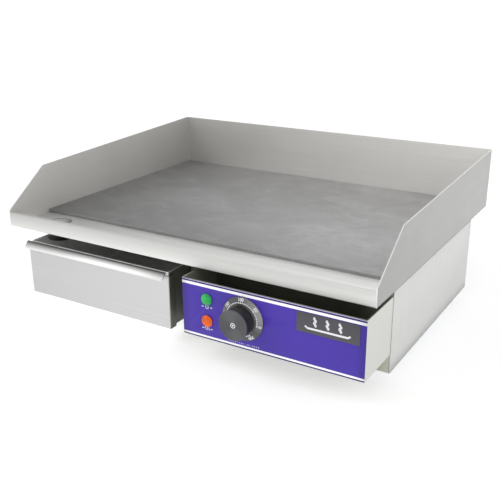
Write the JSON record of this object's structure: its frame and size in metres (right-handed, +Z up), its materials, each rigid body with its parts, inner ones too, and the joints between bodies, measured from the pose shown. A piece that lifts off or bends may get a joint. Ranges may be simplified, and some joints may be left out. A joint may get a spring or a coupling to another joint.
{
  "type": "electric griddle",
  "caption": "Counter-top electric griddle: splash-guarded steel plate with a grease trough draining into a pull-out drawer, beside a control box with a turning knob and pilot lamps.",
  "frame": {"origin": "centre of the bounding box base, on the plane the feet stand on", "axes": "+X to the right seen from the front, +Y from front to back, +Z up"},
  "size_m": [0.55, 0.473, 0.201],
  "materials": {
    "satin_steel": "satin",
    "cooking_plate": "ground and lightly seasoned",
    "zinc_steel": "zinc plated",
    "element_sheath": "oxidised",
    "panel_film": "printed film, satin",
    "name_plate": "printed film",
    "knob_black": "moulded",
    "knob_grey": "moulded",
    "green_lens": "translucent",
    "orange_lens": "translucent",
    "ceramic": "glazed ceramic",
    "brass": "plain",
    "rubber": "moulded",
    "mineral_mat": "mineral fibre mat",
    "wire_sleeve": "braided silicone sleeve"
  },
  "bodies": {
    "griddle_body": {"back_panel": "satin_steel", "base_plate": "zinc_steel", "bulb_clip": "zinc_steel", "cable_gland": "knob_black", "capillary_tube": "brass", "clamp_nut_front_left": "zinc_steel", "clamp_nut_front_right": "zinc_steel", "clamp_nut_rear_left": "zinc_steel", "clamp_nut_rear_right": "zinc_steel", "clamp_stud_front_left": "zinc_steel", "clamp_stud_front_right": "zinc_steel", "clamp_stud_rear_left": "zinc_steel", "clamp_stud_rear_right": "zinc_steel", "control_housing": "satin_steel", "control_overlay": "panel_film", "drain_spout": "satin_steel", "drawer_runner_left": "zinc_steel", "drawer_runner_right": "zinc_steel", "earth_stud": "brass", "element_clamp_left": "zinc_steel", "element_clamp_right": "zinc_steel", "foot_front_left": "rubber", "foot_front_right": "rubber", "foot_rear_left": "rubber", "foot_rear_right": "rubber", "foot_screw_front_left": "zinc_steel", "foot_screw_front_right": "zinc_steel", "foot_screw_rear_left": "zinc_steel", "foot_screw_rear_right": "zinc_steel", "front_panel": "satin_steel", "front_trough": "satin_steel", "gland_locknut": "knob_black", "griddle_plate": "cooking_plate", "heat_shield": "zinc_steel", "heating_element_front": "element_sheath", "heating_element_rear": "element_sheath", "insulation_mat": "mineral_mat", "lamp_body_green": "ceramic", "lamp_body_orange": "ceramic", "lamp_lens_green": "green_lens", "lamp_lens_orange": "orange_lens", "name_plate": "name_plate", "side_panel_left": "satin_steel", "side_panel_right": "satin_steel", "splash_guard": "satin_steel", "terminal_block": "ceramic", "thermostat_body": "ceramic", "thermostat_bulb": "brass", "wire_element_live": "wire_sleeve", "wire_element_neutral": "wire_sleeve", "wire_lamp_link": "wire_sleeve", "wire_thermostat_feed": "wire_sleeve"},
    "drawer": {"drawer_front": "satin_steel", "drawer_box": "satin_steel"},
    "knob": {"knob_skirt": "knob_grey", "knob_grip": "knob_black", "thermostat_shaft": "zinc_steel"}
  },
  "joints": [
    {"name": "drawer_slide", "type": "slide", "parent": "griddle_body", "child": "drawer", "axis": [0, -1, 0], "range_m": [0, 0.15]},
    {"name": "knob_turn", "type": "hinge", "parent": "griddle_body", "child": "knob", "pos_m": [0.1227, -0.2148, 0.0743], "axis": [0, 1, 0], "range_deg": [-101, 211]}
  ]
}
